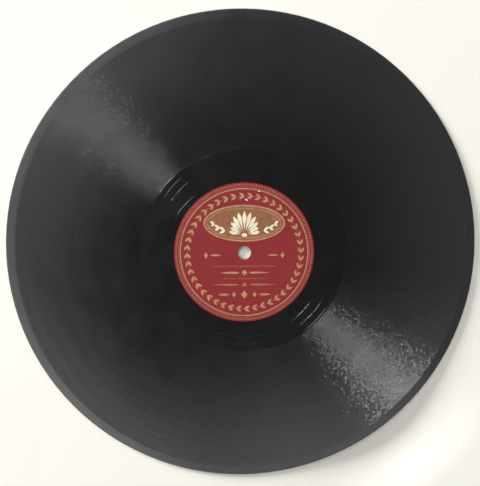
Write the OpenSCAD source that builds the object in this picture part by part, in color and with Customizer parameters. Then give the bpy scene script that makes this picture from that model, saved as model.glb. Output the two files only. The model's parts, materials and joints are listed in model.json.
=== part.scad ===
// Ten inch shellac record: a pressed disc, and a paper label seated in each face.
// It lies flat with its axis on Z and side A up. The origin is under the spindle hole.

/* [Disc] */
// Outer diameter
disc_d = 250.8; // [240:0.1:305]
// Thickness of the pressing
disc_t = 2.2; // [1.6:0.05:3.2]
// Radius that rounds the rim
rim_r = 0.6; // [0.2:0.05:1.2]
// Diameter of the spindle hole
hole_d = 7.26; // [7:0.01:8]

/* [Labels] */
// Diameter of the paper label
label_d = 75; // [50:0.5:100]
// Thickness of the label paper
label_t = 0.15; // [0.1:0.01:0.3]
// How far the paper lies below the land
label_sink = 0.05; // [0.02:0.01:0.2]
// Gap round the paper in its seat
label_gap = 0.1; // [0.05:0.01:0.3]

/* [Groove] */
// Width of the smooth margin between the rim and the first recorded turn
margin_w = 4.75; // [3:0.05:10]
// Angle over which the lead-in comes from the margin to the first turn
lead_in_angle = 110; // [60:5:170]
// How far outside the recorded turns the first turn starts
first_turn_w = 0.8; // [0.6:0.05:1.5]
// Pitch of the recorded turns, each one drawn for ten on the record
band_pitch = 2.6; // [2:0.1:6]
// Width that the run-out crosses, from the last recorded turn to the trip ring's far side
run_out_w = 9; // [4:0.1:20]
// Pitch of the run-out turns
run_out_pitch = 4.1; // [3:0.1:8]
// How far the eccentric trip ring's centre lies from the spindle
trip_offset = 3.2; // [1:0.1:5]
// Width of the land between the label's seat and the trip ring's near side
trip_land_w = 2; // [1:0.1:6]
// Width of the groove at the land
groove_w = 0.5; // [0.3:0.05:1]
// Depth of the groove
groove_depth = 0.12; // [0.05:0.01:0.2]

/* [Hidden] */
$fn = 180;
shellac = "#1b1b1d";
maroon = "#8c3034";

// How far a cutter reaches past the face that it cuts
cut_over = 1;
// Straight wall that stays at the rim between its two rounded corners
rim_flat = 0.2;

disc_r = disc_d / 2;
corner_r = min(rim_r, (disc_t - rim_flat) / 2);
hole_r = hole_d / 2;
seat_depth = label_t + label_sink;
seat_r = label_d / 2 + label_gap;

// The groove is a chain of half circles that meet on the Y axis, where they share a tangent.
// It runs inward counter-clockwise, and a list holds the radii at which it crosses that axis.
trip_r = seat_r + trip_land_w + trip_offset;
trip_far_r = trip_r + trip_offset;
band_start_r = disc_r - margin_w;
band_end_r = trip_far_r + run_out_w;
band_turns = floor((band_start_r - band_end_r) / band_pitch);
band_step = (band_start_r - band_end_r) / (2 * band_turns + 1);
lead_in_r = disc_r - corner_r - groove_w;
first_turn_r = band_start_r + first_turn_w;
run_out_turns = floor(run_out_w / run_out_pitch);
run_out_crossings = concat(
    [band_end_r],
    [for (i = [2 * run_out_turns : -1 : 0]) trip_far_r + i * run_out_pitch / 2]
);

// One V of the groove at radius r, opened past the land by cut_share of its depth
cut_share = 0.5;
function groove_v(r) = [
    [r - groove_w / 2 * (1 + cut_share), groove_depth * cut_share],
    [r, -groove_depth],
    [r + groove_w / 2 * (1 + cut_share), groove_depth * cut_share]
];

// Cuts half a turn at each of the given radii, on the +X side for side 1 and the -X side for side -1.
// A smaller angle leaves only the end of each half turn.
module half_turns(radii, step, side, angle = 180) {
    comb_in = [radii[0] - groove_w, cut_over];
    comb_out = [radii[len(radii) - 1] + groove_w, cut_over];
    translate([0, -side * step / 2, 0])
        rotate([0, 0, 180 - 90 * side - angle])
            rotate_extrude(angle = angle)
                polygon([comb_in, for (r = radii) each groove_v(r), comb_out]);
}

// Joins crossings one after the other, starting on the side given
module spiral(crossings, first_side) {
    for (i = [0 : len(crossings) - 2])
        half_turns(
            [(crossings[i] + crossings[i + 1]) / 2],
            crossings[i] - crossings[i + 1],
            i % 2 == 0 ? first_side : -first_side
        );
}

// The groove starts in the margin, and its first turn closes up to the recorded ones
module lead_in() {
    half_turns([(lead_in_r + first_turn_r) / 2], lead_in_r - first_turn_r, 1, lead_in_angle);
    spiral([first_turn_r, band_start_r], -1);
}

// The recorded turns of one pitch: all half turns on a side share one centre, so one comb cuts them
module recorded_band() {
    half_turns([for (i = [band_turns : -1 : 0]) band_start_r - (2 * i + 0.5) * band_step], band_step, 1);
    half_turns([for (i = [band_turns - 1 : -1 : 0]) band_start_r - (2 * i + 1.5) * band_step], band_step, -1);
}

module trip_ring() {
    translate([0, -trip_offset, 0])
        rotate_extrude()
            polygon(groove_v(trip_r));
}

// The whole groove of one side, cut down from z = 0
module groove() {
    lead_in();
    recorded_band();
    spiral(run_out_crossings, -1);
    trip_ring();
}

// Half of the disc's cross-section: round-cornered rim, label seat in each face, spindle hole
module disc_section() {
    difference() {
        union() {
            translate([hole_r, 0]) square([disc_r - corner_r - hole_r, disc_t]);
            translate([hole_r, corner_r]) square([disc_r - hole_r, disc_t - 2 * corner_r]);
            for (y = [corner_r, disc_t - corner_r])
                translate([disc_r - corner_r, y]) circle(r = corner_r);
        }
        translate([0, -cut_over]) square([seat_r, seat_depth + cut_over]);
        translate([0, disc_t - seat_depth]) square([seat_r, seat_depth + cut_over]);
    }
}

// Turns what is drawn for side A, on the top face, over to side B
module side_b() {
    translate([0, 0, disc_t]) rotate([0, 180, 0]) children();
}

module disc() {
    color(shellac)
        difference() {
            rotate_extrude() disc_section();
            translate([0, 0, disc_t]) groove();
            side_b() translate([0, 0, disc_t]) groove();
        }
}

// Paper ring that lies on the floor of the seat in side A
module label_paper() {
    translate([0, 0, disc_t - seat_depth])
        rotate_extrude()
            translate([hole_r, 0])
                square([label_d / 2 - hole_r, label_t]);
}

module label_side_a() {
    color(maroon) label_paper();
}

module label_side_b() {
    color(maroon) side_b() label_paper();
}

disc();
label_side_a();
label_side_b();
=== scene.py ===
"""Looks of a ten inch shellac record: a pressed disc and a printed paper label in each face."""
import json
import math
import random

import bmesh
import bpy
import numpy as np
from mathutils import Matrix, Vector


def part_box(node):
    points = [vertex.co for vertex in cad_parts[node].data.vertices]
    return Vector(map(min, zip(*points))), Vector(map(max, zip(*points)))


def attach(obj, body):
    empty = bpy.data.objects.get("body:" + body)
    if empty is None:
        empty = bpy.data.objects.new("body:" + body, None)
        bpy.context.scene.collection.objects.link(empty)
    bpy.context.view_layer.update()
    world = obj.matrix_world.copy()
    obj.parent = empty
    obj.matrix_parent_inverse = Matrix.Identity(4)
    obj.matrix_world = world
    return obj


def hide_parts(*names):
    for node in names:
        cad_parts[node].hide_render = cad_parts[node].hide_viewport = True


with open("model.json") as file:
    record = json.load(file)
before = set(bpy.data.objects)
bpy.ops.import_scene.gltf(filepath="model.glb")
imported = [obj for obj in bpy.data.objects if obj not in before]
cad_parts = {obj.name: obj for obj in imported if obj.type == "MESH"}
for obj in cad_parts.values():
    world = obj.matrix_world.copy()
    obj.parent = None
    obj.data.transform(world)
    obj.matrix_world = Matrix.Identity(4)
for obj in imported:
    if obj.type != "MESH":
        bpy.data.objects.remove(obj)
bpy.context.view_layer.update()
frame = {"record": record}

# Sizes in metres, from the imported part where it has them
MM = 0.001
_, disc_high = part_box("disc")
label_low, label_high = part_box("label_side_a")
mounts = {mount["name"]: mount for mount in frame["record"]["mounts"]}
DISC_R = disc_high.x
DISC_T = disc_high.z
LABEL_R = label_high.x
LABEL_TOP = label_high.z
LABEL_BASE = label_low.z
HOLE_R = mounts["spindle_hole"]["dims"]["r_mm"] * MM

# Groove and rim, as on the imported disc
LABEL_GAP = 0.1 * MM
MARGIN_W = 4.75 * MM
RUN_OUT_W = 9 * MM
RUN_OUT_PITCH = 4.1 * MM
TRIP_OFFSET = 3.2 * MM
TRIP_LAND_W = 2 * MM
RIM_R = 0.6 * MM
LEAD_IN_EDGE = 0.5 * MM
LEAD_IN_ANGLE = 110
FIRST_TURN_W = 0.8 * MM
# The single turns of the lead-in, run-out and trip ring, and the lead-in's share of that width and depth
GROOVE_W = 0.16 * MM
GROOVE_DEPTH = 0.07 * MM
LEAD_IN_SHARE = 0.7
# The recorded turns, each drawn for two on the record
BAND_PITCH = 0.5 * MM
# Their width and depth, each at the last turn and at the first
BAND_GROOVE_W = (0.155 * MM, 0.245 * MM)
BAND_DEPTH = (0.065 * MM, 0.131 * MM)

SEAT_R = LABEL_R + LABEL_GAP
TRIP_R = SEAT_R + TRIP_LAND_W + TRIP_OFFSET
TRIP_FAR_R = TRIP_R + TRIP_OFFSET
BAND_START_R = DISC_R - MARGIN_W
BAND_END_R = TRIP_FAR_R + RUN_OUT_W
RIM_START_R = DISC_R - RIM_R
LEAD_IN_R = RIM_START_R - LEAD_IN_EDGE
FIRST_TURN_R = BAND_START_R + FIRST_TURN_W

# Columns of the disc's mesh round the axis, starting on -Y where the half turns of the groove meet
COLUMNS = 112
COLUMN_T = np.linspace(0, 1, COLUMNS + 1)
COLUMN_ANGLE = -math.pi / 2 + 2 * math.pi * COLUMN_T
# Columns over which the lead-in sinks to its depth
LEAD_IN_COLUMNS = 2
RIM_STEPS = 12
# Finishes of the disc's faces, in the order of its materials
LAND, WALL, LINE, EDGE = range(4)
# Edges sharper than these stay sharp, on the disc and on paper and cloth
DISC_SHARP_ANGLE = math.radians(10)
SHEET_SHARP_ANGLE = math.radians(30)
# Points closer than this become one
WELD = 1e-8

# Shellac: its gloss, its tones on the faces and on the ground edge, and the dust and painted sheen that
# grey the faces from a radius out to the rim; the sheen stands in for brighter reflection on the outer
# turns
SHELLAC_GLOSS = {"IOR": 1.66, "Specular_IOR_Level": 0.57}
SHELLAC_TONES = ((0.0037, 0.0037, 0.004, 1), (0.0057, 0.0057, 0.0059, 1))
EDGE_TONES = ((0.0045, 0.0045, 0.005, 1), (0.0136, 0.013, 0.0136, 1))
DUST_AND_SHEEN_COLOUR = (0.033, 0.0335, 0.033, 1)
DUST_AND_SHEEN_START_R = 61 * MM
MOST_DUST_AND_SHEEN = 0.75
# Facets of the groove's walls and hairlines of the land, each by the turn and by the metre of radius
FACETS = (740, 1150)
HAIRLINES = (8, 6000)
# Values that a noise mostly stays between
NOISE_RANGE = (0.3, 0.7)

# Label paper and its inks: light tone, dark tone, colour where worn, and the noise at which wear starts
PAPER_TONES = ((0.228, 0.0195, 0.0232, 1), (0.268, 0.0255, 0.029, 1))
FIBRE_COLOUR = (0.322, 0.05, 0.047, 1)
WORN_TO_PAPER = (0.26, 0.03, 0.034, 1)
GOLD_INK = ((0.55, 0.31, 0.155, 1), (0.45, 0.24, 0.115, 1), WORN_TO_PAPER, 0.56)
FINE_GOLD_INK = ((0.46, 0.21, 0.12, 1), (0.36, 0.14, 0.085, 1), WORN_TO_PAPER, 0.52)
BROWN_INK = ((0.32, 0.14, 0.066, 1), (0.25, 0.105, 0.048, 1), (0.2, 0.05, 0.035, 1), 0.62)
CREAM_INK = ((0.93, 0.87, 0.66, 1), (0.80, 0.70, 0.48, 1), (0.5, 0.33, 0.2, 1), 0.64)
BARE_PAPER = ((0.9, 0.87, 0.8, 1), (0.75, 0.66, 0.6, 1), (0.5, 0.2, 0.2, 1), 0.62)
WEAR_FADE = 0.12

# The print reaches this far into the paper, and each layer stands this far above it
PRINT_SINK = 0.01 * MM
PRINT_RISE = {"field": 0.006 * MM, "gold": 0.012 * MM, "fine_gold": 0.010 * MM, "cream": 0.016 * MM}
NICK_RISE = 0.02 * MM
# Scuffs on side A: place, length and width in millimetres, and tilt. Their outlines vary in size
NICKS = (((1.1, 28.3), 1.9, 0.7, -0.6), ((7.7, 32.9), 1.2, 0.7, -0.3))
NICK_SEED = 5
NICK_POINTS = 12
NICK_SIZES = (0.75, 1.15)

# The floor lies this far below the disc and falls by the drop between two radii. In one place it dips,
# down between one pair of radii and up again between the next
FLOOR_R = 1500 * MM
FLOOR_GAP = 0.05 * MM
FLOOR_DROP = 0.8 * MM
FLOOR_FALL = (90 * MM, 175 * MM)
FLOOR_DIP = 4.5 * MM
FLOOR_DIP_DOWN = (100 * MM, 128 * MM)
FLOOR_DIP_UP = (134 * MM, 175 * MM)
FLOOR_DIP_TURN = math.radians(308)
FLOOR_DIP_SPREAD = math.radians(16)
# The cloth's tone and a slightly darker copy of it, mixed by a noise: painted shade of soft folds
FLOOR_TONE_AND_FOLD_SHADE = ((0.89, 0.86, 0.78, 1), (0.92, 0.89, 0.81, 1))
# A little light of the floor's own, which the camera alone sees
FLOOR_GLOW = 0.05
THREAD_PITCH = 1.3 * MM

# Lamps: azimuth and zenith angle in degrees, width and height in metres, radiance and colour
LAMP_DISTANCE = 4.0
WHITE = (1, 1, 1)
LAMPS = {
    "window": (142.2, 72, 1.15, 1.41, 52.4, (0.96, 0.99, 1.0)),
    "softbox_top": (150, 20, 3.1, 0.98, 0.76, WHITE),
    "softbox_left": (152, 34, 1.5, 0.98, 5.9, WHITE),
    "softbox_back_left": (112, 34, 1.4, 0.98, 3.1, WHITE),
    "softbox_front": (222, 33, 2.8, 0.98, 2.3, WHITE),
    "softbox_right": (287, 34, 2.5, 0.98, 0.84, WHITE),
    "softbox_back": (82, 48, 2.9, 0.98, 2.8, WHITE),
}


# Object helpers

def add_object(name, data):
    made = bpy.data.objects.new(name, data)
    bpy.context.scene.collection.objects.link(made)
    return made


def mesh_object(name, vertices, faces, materials, face_materials=None):
    """A mesh object from plain lists, welded, with its faces turned outward."""
    mesh = bpy.data.meshes.new(name)
    mesh.from_pydata(vertices, [], faces)
    for material in materials:
        mesh.materials.append(material)
    if face_materials is not None:
        mesh.polygons.foreach_set("material_index", face_materials)
    work = bmesh.new()
    work.from_mesh(mesh)
    bmesh.ops.remove_doubles(work, verts=work.verts, dist=WELD)
    bmesh.ops.recalc_face_normals(work, faces=work.faces)
    work.to_mesh(mesh)
    work.free()
    return add_object(name, mesh)


def smooth(piece, sharp_angle):
    """Smooth shading that keeps edges sharper than the angle."""
    piece.data.shade_smooth()
    piece.data.set_sharp_from_angle(angle=sharp_angle)


def settle(piece, node):
    """Puts a piece on the part's one body and hides the solid that it stands for."""
    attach(piece, "root")
    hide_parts(node)


def turned_over(vertices):
    """Points drawn for side A as they lie on side B."""
    return [(-x, y, DISC_T - z) for x, y, z in vertices]


# Disc. Its section is a list of lines, each with radii, heights and the finish of the strip after it

def half_circle_r(angle, start, end, rising):
    """Distance from the axis of a half circle that crosses the Y axis at two radii."""
    offset = (end - start) / 2 if rising else (start - end) / 2
    radius = (start + end) / 2
    return offset * np.sin(angle) + np.sqrt(radius**2 - (offset * np.cos(angle)) ** 2)


def turn_r(start, middle, end):
    """Radii of one turn of the groove over the columns, from -Y by +Y back to -Y."""
    first = half_circle_r(COLUMN_ANGLE, start, middle, True)
    second = half_circle_r(COLUMN_ANGLE, middle, end, False)
    return np.where(COLUMN_T < 0.5, first, second)


def ring(radius, z=DISC_T, finish=LAND):
    """One circle of the section, at the land unless z says otherwise."""
    return np.full(COLUMNS + 1, radius), np.full(COLUMNS + 1, z), finish


def groove_lines(valley, width, depth, low, high, finish=LINE):
    """Inner lip, valley and outer lip of a groove, kept between two lines of the land."""
    inner = np.clip(valley - width / 2, low, high)
    bottom = np.clip(valley, low, high)
    outer = np.clip(valley + width / 2, low, high)
    land = np.full(COLUMNS + 1, DISC_T)
    return [(inner, land, finish), (bottom, DISC_T - depth, finish), (outer, land, LAND)]


def run_out_lines():
    """Trip ring and run-out turns, from the label's seat to the recorded band."""
    trip = half_circle_r(COLUMN_ANGLE, TRIP_R + TRIP_OFFSET, TRIP_R - TRIP_OFFSET, True)
    turns = []
    whole_turns = int(RUN_OUT_W / RUN_OUT_PITCH)
    for i in range(whole_turns):
        end = TRIP_FAR_R + i * RUN_OUT_PITCH
        turns.append(turn_r(end + RUN_OUT_PITCH, end + RUN_OUT_PITCH / 2, end))
    turns.append(turn_r(BAND_END_R, BAND_END_R, TRIP_FAR_R + whole_turns * RUN_OUT_PITCH))

    # The last turn runs into the trip ring, and the ridge between the two sinks
    gap = turns[0] - trip
    ridge = trip + gap / 2
    ridge_z = DISC_T - GROOVE_DEPTH * np.clip(1 - gap / GROOVE_W, 0, 1)
    full_depth = np.full(COLUMNS + 1, GROOVE_DEPTH)
    lines = groove_lines(trip, GROOVE_W, full_depth, SEAT_R, ridge)
    lines[2] = (lines[2][0], ridge_z, LAND)
    for i, valley in enumerate(turns):
        low = ridge if i == 0 else turns[i - 1] + GROOVE_W
        depth = GROOVE_DEPTH * np.clip((BAND_END_R - valley) / GROOVE_W, 0, 1)
        part = groove_lines(valley, GROOVE_W, depth, low, BAND_END_R)
        if i == 0:
            part[0] = (part[0][0], ridge_z, LINE)
        lines += part
    return lines


def band_lines():
    """Recorded turns along one spiral, from the inside out. Both end turns are cut off at the band."""
    ends = (BAND_END_R, BAND_START_R)
    lines = []
    for i in range(math.ceil((BAND_START_R - BAND_END_R) / BAND_PITCH), -2, -1):
        valley = BAND_START_R - BAND_PITCH * (i + COLUMN_T)
        room = np.minimum(BAND_START_R - valley, valley - BAND_END_R)
        width = np.interp(valley, ends, BAND_GROOVE_W)
        depth = np.interp(valley, ends, BAND_DEPTH) * np.clip(2 * room / width, 0, 1)
        lines += groove_lines(valley, width, depth, *ends, WALL)
    return lines


def lead_in_lines():
    """First turn of the groove, which starts in the margin and closes up to the recorded turns."""
    valley = turn_r(LEAD_IN_R, FIRST_TURN_R, BAND_START_R)
    begun = np.clip((COLUMN_T - (180 - LEAD_IN_ANGLE) / 360) * COLUMNS / LEAD_IN_COLUMNS, 0, 1)
    share = LEAD_IN_SHARE * begun * np.clip((valley - BAND_START_R) / GROOVE_W, 0, 1)
    lines = groove_lines(valley, GROOVE_W * share, GROOVE_DEPTH * share, BAND_START_R, RIM_START_R)

    # A flat line carries the turn on outward, so that the first column meets the last one
    before = turn_r(RIM_START_R, (RIM_START_R + LEAD_IN_R) / 2, LEAD_IN_R)
    return lines + groove_lines(before, 0, 0 * share, lines[2][0], RIM_START_R)


def disc_section():
    """Side A from the spindle hole to the rim's wall."""
    section = [ring(HOLE_R, LABEL_BASE), ring(SEAT_R, LABEL_BASE), ring(SEAT_R)]
    section += run_out_lines() + [ring(BAND_END_R)]
    section += band_lines() + [ring(BAND_START_R)]
    section += lead_in_lines()
    corner_z = DISC_T - RIM_R
    for i in range(RIM_STEPS + 1):
        turn = math.pi / 2 * (1 - i / RIM_STEPS)
        radius = RIM_START_R + RIM_R * math.cos(turn)
        section.append(ring(radius, corner_z + RIM_R * math.sin(turn), EDGE))
    return section


def disc_piece(finishes):
    """The whole disc as one closed mesh: side A, rim, side B and the wall of the spindle hole."""
    section = disc_section()
    cos, sin = np.cos(COLUMN_ANGLE), np.sin(COLUMN_ANGLE)
    side_a = [np.stack([r * cos, r * sin, z], axis=1) for r, z, _ in section]
    side_b = [line * [-1, 1, -1] + [0, 0, DISC_T] for line in side_a]
    lines = side_a + [line[::-1] for line in reversed(side_b)]

    # Side B has the same strips in reverse, and the last strip is the wall of the hole
    strip_finish = [finish for _, _, finish in section]
    strip_finish += strip_finish[-2::-1] + [LAND]
    rows, width = len(lines), COLUMNS + 1
    faces, face_finish = [], []
    for row, finish in enumerate(strip_finish):
        after = (row + 1) % rows
        for column in range(COLUMNS):
            a, b = row * width + column, after * width + column
            faces.append((a, a + 1, b + 1, b))
            face_finish.append(finish)
    vertices = np.concatenate(lines).tolist()
    piece = mesh_object("shellac_disc", vertices, faces, finishes, face_finish)
    smooth(piece, DISC_SHARP_ANGLE)
    settle(piece, "disc")


# Materials

class Graph:
    """Short calls for building one material's nodes."""

    def __init__(self, name):
        self.material = bpy.data.materials.new(name)
        self.material.use_nodes = True
        self.tree = self.material.node_tree
        self.shader = self.tree.nodes["Principled BSDF"]

    def node(self, kind, inputs=None, **settings):
        made = self.tree.nodes.new(kind)
        for key, value in settings.items():
            setattr(made, key, value)
        for key, value in (inputs or {}).items():
            self.feed(made.inputs[key], value)
        return made

    def feed(self, socket, value):
        if isinstance(value, bpy.types.NodeSocket):
            self.tree.links.new(value, socket)
        else:
            socket.default_value = value

    def place(self):
        """Place on the object."""
        return self.node("ShaderNodeTexCoord").outputs["Object"]

    def math(self, operation, a, b=0.0):
        return self.node("ShaderNodeMath", {0: a, 1: b}, operation=operation).outputs[0]

    def vector(self, operation, a, b=(0, 0, 0), **inputs):
        made = self.node("ShaderNodeVectorMath", {0: a, 1: b, **inputs}, operation=operation)
        return made.outputs[0]

    def parts(self, vector):
        return self.node("ShaderNodeSeparateXYZ", {0: vector}).outputs

    def mix(self, share, a, b):
        made = self.node("ShaderNodeMix", data_type="RGBA")
        self.feed(made.inputs["Factor"], share)
        self.feed(made.inputs["A"], a)
        self.feed(made.inputs["B"], b)
        return made.outputs["Result"]

    def ramp(self, value, low, high, to_low=0.0, to_high=1.0):
        made = self.node("ShaderNodeMapRange", {0: value, 1: low, 2: high, 3: to_low, 4: to_high})
        return made.outputs[0]

    def noise(self, place, scale, detail):
        made = self.node("ShaderNodeTexNoise", {"Vector": place, "Scale": scale, "Detail": detail})
        return made.outputs["Fac"]

    def bump(self, height, strength, distance):
        inputs = {"Strength": strength, "Distance": distance, "Height": height}
        return self.node("ShaderNodeBump", inputs).outputs[0]

    def roughness(self, noise, smoothest, roughest):
        """Roughness that follows a noise."""
        return self.ramp(noise, *NOISE_RANGE, smoothest, roughest)

    def shade(self, **values):
        for key, value in values.items():
            self.feed(self.shader.inputs[key.replace("_", " ")], value)
        return self.material


def polar(graph):
    """Place on the object, its first two parts and its distance from the axis."""
    place = graph.place()
    x, y, _ = graph.parts(place)
    square = graph.math("ADD", graph.math("MULTIPLY", x, x), graph.math("MULTIPLY", y, y))
    return place, x, y, graph.math("SQRT", square)


def along_groove(graph, x, y, radius, per_turn, per_metre):
    """Place whose first two parts go round with the angle and whose third counts turns."""
    safe = graph.math("MAXIMUM", radius, MM)
    around = per_turn / (2 * math.pi)
    made = graph.node("ShaderNodeCombineXYZ", {
        0: graph.math("MULTIPLY", graph.math("DIVIDE", x, safe), around),
        1: graph.math("MULTIPLY", graph.math("DIVIDE", y, safe), around),
        2: graph.math("MULTIPLY", radius, per_metre),
    })
    return made.outputs[0]


def shellac_colour(graph, place, radius):
    """Patches of near-black compound, and their colour greyed towards the rim by dust and a painted
    sheen.
    """
    patches = graph.noise(place, scale=70.0, detail=3.0)
    clean = graph.mix(patches, *SHELLAC_TONES)
    # Greyer towards the rim: dust, and painted sheen standing in for brighter reflection on the outer
    # turns
    dust_and_sheen = graph.ramp(radius, DUST_AND_SHEEN_START_R, DISC_R, 0.0, MOST_DUST_AND_SHEEN)
    return patches, graph.mix(dust_and_sheen, clean, DUST_AND_SHEEN_COLOUR)


def groove_wall(name, smoothest, roughest, most_lean):
    """Wall of a groove: polished along it, in short facets that lean a little with what is recorded."""
    graph = Graph(name)
    place, x, y, radius = polar(graph)
    patches, colour = shellac_colour(graph, place, radius)
    spot = along_groove(graph, x, y, radius, *FACETS)
    facets = graph.node("ShaderNodeTexVoronoi", {"Vector": spot, "Scale": 1.0})
    chance = graph.parts(facets.outputs["Color"])[0]
    along = graph.node("ShaderNodeTangent", direction_type="RADIAL", axis="Z").outputs[0]
    lean = graph.vector("SCALE", along, Scale=graph.ramp(chance, 0, 1, -most_lean, most_lean))
    upright = graph.node("ShaderNodeNewGeometry").outputs["Normal"]
    return graph.shade(
        Base_Color=colour,
        Roughness=graph.roughness(patches, smoothest, roughest),
        Anisotropic=1.0,
        Anisotropic_Rotation=0.25,
        Normal=graph.vector("NORMALIZE", graph.vector("ADD", upright, lean)),
        Tangent=along,
        **SHELLAC_GLOSS,
    )


def shellac_land():
    """Glossy land between the turns, with hairlines that run round it."""
    graph = Graph("shellac_land")
    place, x, y, radius = polar(graph)
    patches, colour = shellac_colour(graph, place, radius)
    hairlines = graph.noise(along_groove(graph, x, y, radius, *HAIRLINES), scale=1.0, detail=1.0)
    return graph.shade(
        Base_Color=colour,
        Roughness=graph.roughness(patches, smoothest=0.17, roughest=0.23),
        Normal=graph.bump(hairlines, strength=0.05, distance=0.0002),
        **SHELLAC_GLOSS,
    )


def shellac_edge():
    """Rim that was ground after pressing, duller and finely marked."""
    graph = Graph("shellac_ground_edge")
    marks = graph.noise(graph.place(), scale=2500.0, detail=3.0)
    return graph.shade(
        Base_Color=graph.mix(marks, *EDGE_TONES),
        Roughness=graph.roughness(marks, smoothest=0.36, roughest=0.55),
        Normal=graph.bump(marks, strength=0.2, distance=0.0002),
        **SHELLAC_GLOSS,
    )


def label_paper():
    """Maroon paper with lighter fibres."""
    graph = Graph("label_maroon_paper")
    place = graph.place()
    fibres = graph.noise(place, scale=2600.0, detail=4.0)
    clouds = graph.noise(place, scale=120.0, detail=3.0)
    fibre_share = graph.ramp(fibres, low=0.5, high=0.8, to_high=0.3)
    return graph.shade(
        Base_Color=graph.mix(fibre_share, graph.mix(clouds, *PAPER_TONES), FIBRE_COLOUR),
        Roughness=graph.roughness(fibres, smoothest=0.6, roughest=0.7),
        Specular_IOR_Level=0.25,
        Normal=graph.bump(fibres, strength=0.15, distance=0.0001),
    )


def ink(name, light, dark, worn, wear_start):
    """Letterpress ink: two tones, and specks where the paper shows through."""
    graph = Graph(name)
    place = graph.place()
    tone = graph.noise(place, scale=350.0, detail=3.0)
    specks = graph.noise(place, scale=3200.0, detail=2.0)
    inked = graph.mix(graph.ramp(tone, low=0.35, high=0.65), dark, light)
    bare = graph.ramp(specks, wear_start, wear_start + WEAR_FADE)
    return graph.shade(
        Base_Color=graph.mix(bare, inked, worn),
        Roughness=graph.roughness(tone, smoothest=0.45, roughest=0.6),
        Specular_IOR_Level=0.3,
    )


def floor_cloth():
    """Pale cloth with a diagonal weave, and soft folds painted in as patches of shade."""
    graph = Graph("floor_cloth")
    place = graph.place()
    x, y, _ = graph.parts(place)
    thread = 2 * math.pi / (THREAD_PITCH * math.sqrt(2))
    rising = graph.math("SINE", graph.math("MULTIPLY", graph.math("ADD", x, y), thread))
    falling = graph.math("SINE", graph.math("MULTIPLY", graph.math("SUBTRACT", x, y), thread))
    weave = graph.math("MULTIPLY", rising, falling)
    # Soft folds painted in as patches of slightly darker cloth
    painted_fold_shade = graph.noise(place, scale=14.0, detail=2.0)
    camera_ray = graph.node("ShaderNodeLightPath").outputs["Is Camera Ray"]
    return graph.shade(
        Base_Color=graph.mix(painted_fold_shade, *FLOOR_TONE_AND_FOLD_SHADE),
        Roughness=0.9,
        Specular_IOR_Level=0.2,
        Normal=graph.bump(weave, strength=0.3, distance=0.0001),
        Emission_Color=(1.0, 1.0, 1.0, 1),
        Emission_Strength=graph.math("MULTIPLY", camera_ray, FLOOR_GLOW),
    )


# Shapes of the print, in millimetres on the label

def placed(points, root, direction):
    """Points turned to a direction and moved to a root."""
    cos, sin = math.cos(direction), math.sin(direction)
    return [(root[0] + u * cos - v * sin, root[1] + u * sin + v * cos) for u, v in points]


def arc(radius, start, end):
    """The two ends of a short arc."""
    return [(radius * math.cos(t), radius * math.sin(t)) for t in (start, end)]


def oval(centre, half_w, half_h, steps):
    turns = [2 * math.pi * i / steps for i in range(steps)]
    return [(centre[0] + half_w * math.cos(t), centre[1] + half_h * math.sin(t)) for t in turns]


def leaf(root, direction, length, width, fullest=0.5, steps=7):
    """Pointed leaf from its root, widest at the given share of its length."""
    power = math.log(0.5) / math.log(fullest)
    ribs = [i / steps for i in range(steps + 1)]
    half = [width / 2 * math.sin(math.pi * t**power) for t in ribs]
    right = [(t * length, -h) for t, h in zip(ribs, half)]
    left = [(t * length, h) for t, h in zip(ribs, half)][-2:0:-1]
    return placed(right + left, root, direction)


def lozenge(x, y, half_w, half_h):
    return [(x + half_w, y), (x, y + half_h), (x - half_w, y), (x, y - half_h)]


class Print:
    """Flat shapes in one ink, gathered into one thin mesh."""

    def __init__(self, rise):
        self.low, self.high = LABEL_TOP - PRINT_SINK, LABEL_TOP + rise
        self.vertices, self.faces = [], []

    def shape(self, outline):
        """A filled outline, given counter-clockwise."""
        count, first = len(outline), len(self.vertices)
        for z in (self.low, self.high):
            self.vertices += [(x * MM, y * MM, z) for x, y in outline]
        self.faces.append(tuple(range(first + count, first + 2 * count)))
        self.faces.append(tuple(range(first + count - 1, first - 1, -1)))
        for i in range(count):
            j = (i + 1) % count
            self.faces.append((first + i, first + j, first + count + j, first + count + i))

    def strip(self, inner, outer, closed):
        """The area between two lines of the same number of points."""
        count, first = len(inner), len(self.vertices)
        corners = ((inner, self.low), (outer, self.low), (outer, self.high), (inner, self.high))
        for line, z in corners:
            self.vertices += [(x * MM, y * MM, z) for x, y in line]
        for i in range(count if closed else count - 1):
            j = (i + 1) % count
            for side in range(4):
                a, b = first + side * count, first + (side + 1) % 4 * count
                self.faces.append((a + i, a + j, b + j, b + i))
        if not closed:
            for i in (0, count - 1):
                self.faces.append(tuple(first + side * count + i for side in range(4)))

    def oval_ring(self, centre, inner, outer, steps=96):
        self.strip(oval(centre, *inner, steps), oval(centre, *outer, steps), closed=True)

    def round_ring(self, inner_r, outer_r):
        self.oval_ring((0, 0), (inner_r, inner_r), (outer_r, outer_r), steps=180)

    def piece(self, name, node, material, flip):
        vertices = turned_over(self.vertices) if flip else self.vertices
        settle(mesh_object(name, vertices, self.faces, [material]), node)


# Labels

def bead_row(layer, y, half_width):
    """A centred row of even round beads."""
    bead_r, pitch = 0.36, 1.3
    count = int(2 * half_width / pitch)
    for i in range(count + 1):
        layer.shape(oval(((i - count / 2) * pitch, y), bead_r, bead_r, steps=10))


def ruled_row(layer, y, half_width, width):
    """A centred rule that tapers at both ends and leaves room for a lozenge in the middle."""
    room, half_lozenge = 2.4, 1.3 * width
    for side_x in (-1, 1):
        outward = math.atan2(0.0, side_x)
        layer.shape(leaf((side_x * room, y), outward, half_width - room, width, fullest=0.3))
    layer.shape(lozenge(0, y, half_lozenge, half_lozenge))


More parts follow.
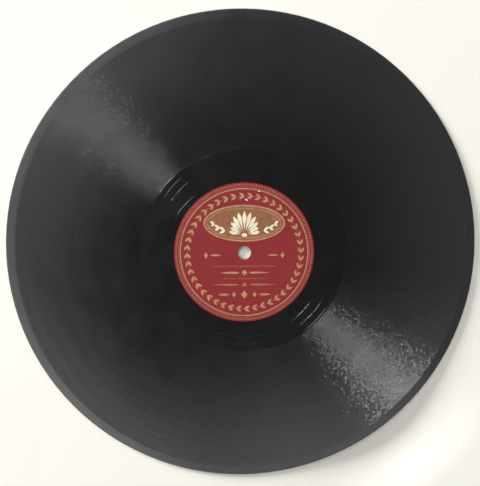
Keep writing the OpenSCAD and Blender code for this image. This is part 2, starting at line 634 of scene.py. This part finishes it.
def print_border(gold, faint):
    """Two rings with short upright strokes outside them, and a wreath inside."""
    gold.round_ring(inner_r=33.9, outer_r=34.45)
    faint.round_ring(inner_r=35.0, outer_r=35.2)
    strokes, stroke_turn = 150, 0.02
    for i in range(strokes):
        t = 2 * math.pi * i / strokes
        inner, outer = (arc(radius, t, t + stroke_turn) for radius in (35.8, 36.7))
        faint.strip(inner, outer, closed=False)

    # Pairs of leaves that part from a thin stem
    pairs, stem_r, leaf_turn = 44, 30.4, 0.5
    faint.round_ring(inner_r=30.3, outer_r=30.5)
    for i in range(pairs):
        t = 2 * math.pi * i / pairs
        root = (stem_r * math.cos(t), stem_r * math.sin(t))
        for lean in (-leaf_turn, leaf_turn):
            gold.shape(leaf(root, t + math.pi / 2 + lean, length=3.3, width=1.25))


def print_palmette(field, gold, cream):
    """Palmette between two sprays, in an oval field with two rims."""
    middle, field_size = (0, 15.9), (20.9, 9.0)
    field.shape(oval(middle, *field_size, steps=96))
    gold.oval_ring(middle, inner=field_size, outer=(21.7, 9.8))
    gold.oval_ring(middle, inner=(19.4, 7.7), outer=(19.7, 8.0))

    # Eleven leaves that fan out round an oval foot, the two lowest on each side equally long
    foot, foot_room, fan_step = (0, 9.6), 2.0, math.radians(15.5)
    for i in range(-5, 6):
        direction = math.pi / 2 - i * fan_step
        reach = 12.9 - 0.33 * i * i if abs(i) < 4 else 8.4
        root = (foot[0] + foot_room * math.cos(direction), foot[1] + foot_room * math.sin(direction))
        cream.shape(leaf(root, direction, reach - foot_room, width=2.1, fullest=0.68))
    cream.shape(oval(foot, half_w=1.45, half_h=1.05, steps=24))

    # Sprays of three pairs of leaves, smaller outward
    for side_x in (-1, 1):
        for i, (x, y) in enumerate(((10.2, 11.8), (13.2, 13.2), (15.8, 15.3))):
            root = (side_x * x, y)
            cream.shape(leaf(root, math.atan2(0.75, side_x), length=4.0 - 0.5 * i, width=1.35))
            cream.shape(leaf(root, math.atan2(-0.35, side_x), length=3.3 - 0.6 * i, width=1.15))


def print_rows(gold, faint):
    """Ornaments beside the hole, and beads, rules and a tailpiece below it."""
    beside_y, tail_y = -1.2, -22.6
    for side_x in (-1, 1):
        outward, inward = math.atan2(0.0, side_x), math.atan2(0.0, -side_x)
        gold.shape(lozenge(side_x * 20.5, beside_y, half_w=1.1, half_h=1.7))
        gold.shape(leaf((side_x * 18.4, beside_y), inward, length=6, width=1.1))
        gold.shape(leaf((side_x * 7.8, tail_y), outward, length=6.5, width=1.2))
    bead_row(faint, -7.2, half_width=16.5)
    ruled_row(gold, -10.7, half_width=13.5, width=1.2)
    bead_row(faint, -13.9, half_width=11.0)
    ruled_row(faint, -17.2, half_width=18.0, width=1.0)
    for x, half_h in ((-5.6, 1.5), (0, 2.3), (5.6, 1.5)):
        gold.shape(lozenge(x, tail_y, 0.75 * half_h, half_h))


def print_label(side, node, inks, flip):
    """The whole print of one label, one piece for each ink."""
    layers = {word: Print(rise) for word, rise in PRINT_RISE.items()}
    field, gold, faint, cream = layers.values()
    print_border(gold, faint)
    print_palmette(field, gold, cream)
    print_rows(gold, faint)
    for word, layer in layers.items():
        layer.piece(f"label_{side}_{word}_print", node, inks[word], flip)


def paper_nicks(bare_paper):
    """Two small spots where the print is scuffed through to white paper."""
    rng = random.Random(NICK_SEED)
    nicks = Print(NICK_RISE)
    for centre, length, width, tilt in NICKS:
        outline = []
        for i in range(NICK_POINTS):
            t = 2 * math.pi * i / NICK_POINTS
            size = rng.uniform(*NICK_SIZES) / 2
            outline.append((size * length * math.cos(t), size * width * math.sin(t)))
        nicks.shape(placed(outline, centre, tilt))
    nicks.piece("label_a_nicks", "label_side_a", bare_paper, flip=False)


def label_piece(name, node, paper, flip):
    """Paper ring with a softened edge, lying on the floor of its seat."""
    segments, rings = 120, 6
    soft = 0.06 * MM
    thick = LABEL_TOP - LABEL_BASE
    section = [(HOLE_R, 0), (HOLE_R, thick - soft), (HOLE_R + soft, thick)]
    section += [(HOLE_R + (LABEL_R - HOLE_R) * i / rings, thick) for i in range(1, rings)]
    section += [(LABEL_R - soft, thick), (LABEL_R, thick - soft), (LABEL_R, 0)]
    vertices, faces = [], []
    for row, (radius, height) in enumerate(section):
        a, b = row * segments, (row + 1) % len(section) * segments
        for i in range(segments):
            j = (i + 1) % segments
            angle = 2 * math.pi * i / segments
            vertices.append((radius * math.cos(angle), radius * math.sin(angle), LABEL_BASE + height))
            faces.append((a + i, a + j, b + j, b + i))
    piece = mesh_object(name, turned_over(vertices) if flip else vertices, faces, [paper])
    smooth(piece, SHEET_SHARP_ANGLE)
    settle(piece, node)


# Stage

def eased(value, start, end):
    """Share from 0 to 1 that starts and ends softly."""
    t = np.clip((value - start) / (end - start), 0, 1)
    return t * t * (3 - 2 * t)


def floor_piece(cloth):
    """Cloth that falls away a little from under the rim and dips in one place there."""
    segments, rings = 180, 35
    radii = np.append(np.linspace(*FLOOR_FALL, rings), FLOOR_R)
    turns = np.linspace(0, 2 * math.pi, segments, endpoint=False)
    fall = FLOOR_DROP * eased(radii, *FLOOR_FALL)
    dip = FLOOR_DIP * (eased(radii, *FLOOR_DIP_DOWN) - eased(radii, *FLOOR_DIP_UP))
    dip_share = np.exp(-(((turns - FLOOR_DIP_TURN) / FLOOR_DIP_SPREAD) ** 2))
    vertices = [(0, 0, -FLOOR_GAP)]
    for radius, ring_fall, ring_dip in zip(radii, fall, dip):
        z = -(FLOOR_GAP + ring_fall + ring_dip * dip_share)
        vertices += np.stack([radius * np.cos(turns), radius * np.sin(turns), z], axis=1).tolist()
    faces = [(0, 1 + i, 1 + (i + 1) % segments) for i in range(segments)]
    for row in range(len(radii) - 1):
        a, b = 1 + row * segments, 1 + (row + 1) * segments
        for i in range(segments):
            j = (i + 1) % segments
            faces.append((a + i, b + i, b + j, a + j))
    piece = mesh_object("floor", vertices, faces, [cloth])
    smooth(piece, SHEET_SHARP_ANGLE)


def facing(place, target, up):
    """World matrix of a lamp or camera that looks from its place at a target."""
    back = (place - target).normalized()
    right = up.cross(back).normalized()
    return Matrix.Translation(place) @ Matrix((right, back.cross(right), back)).transposed().to_4x4()


def area_light(name, azimuth, zenith, width, height, radiance, colour):
    """A lit rectangle that faces the disc's centre. Its radiance is how bright the panel looks."""
    a, z = math.radians(azimuth), math.radians(zenith)
    direction = Vector((math.cos(a) * math.sin(z), math.sin(a) * math.sin(z), math.cos(z)))
    data = bpy.data.lights.new(name, "AREA")
    data.shape = "RECTANGLE"
    data.size = width
    data.size_y = height
    data.color = colour
    data.energy = radiance * math.pi * width * height
    lamp = add_object(name, data)
    lamp.matrix_world = facing(LAMP_DISTANCE * direction, Vector((0, 0, 0)), Vector((0, 0, 1)))


def make_camera():
    """Camera at the photograph's viewing angle, a little above the middle of the label."""
    face = Vector((0, 0, DISC_T))
    place = Vector((-13.25, 36.43, 277.17)) * MM + face
    target = Vector((-2.33, 5.36, 0)) * MM + face
    data = bpy.data.cameras.new("camera")
    data.sensor_width = 36
    data.lens = 38.78
    data.clip_start = 0.01
    camera = add_object("camera", data)
    camera.matrix_world = facing(place, target, Vector((0, 1, 0)))
    bpy.context.scene.camera = camera


def make_world(strength, seen):
    """Even dim light from all round, behind a pale backdrop that only the camera sees."""
    world = bpy.data.worlds.new("room")
    world.use_nodes = True
    nodes, links = world.node_tree.nodes, world.node_tree.links
    light_path = nodes.new("ShaderNodeLightPath")
    brightness = nodes.new("ShaderNodeMapRange")
    brightness.inputs["To Min"].default_value = strength
    brightness.inputs["To Max"].default_value = seen
    links.new(light_path.outputs["Is Camera Ray"], brightness.inputs["Value"])
    nodes["Background"].inputs["Color"].default_value = (1, 1, 1, 1)
    links.new(brightness.outputs["Result"], nodes["Background"].inputs["Strength"])
    bpy.context.scene.world = world


make_camera()
disc_piece([
    shellac_land(),
    groove_wall("shellac_recorded_wall", smoothest=0.30, roughest=0.33, most_lean=0.066),
    groove_wall("shellac_groove_wall", smoothest=0.2, roughest=0.26, most_lean=0.01),
    shellac_edge(),
])
maroon_paper = label_paper()
label_inks = {
    "gold": ink("gold_ink", *GOLD_INK),
    "fine_gold": ink("fine_gold_ink", *FINE_GOLD_INK),
    "field": ink("brown_ink", *BROWN_INK),
    "cream": ink("cream_ink", *CREAM_INK),
}
for label_side, label_flip in (("a", False), ("b", True)):
    label_node = f"label_side_{label_side}"
    label_piece(f"label_{label_side}", label_node, maroon_paper, label_flip)
    print_label(label_side, label_node, label_inks, label_flip)
paper_nicks(ink("bare_label_paper", *BARE_PAPER))
floor_piece(floor_cloth())
for lamp_name, lamp_settings in LAMPS.items():
    area_light(lamp_name, *lamp_settings)
make_world(strength=0.072, seen=0.97)
bpy.context.scene.view_settings.view_transform = "Standard"
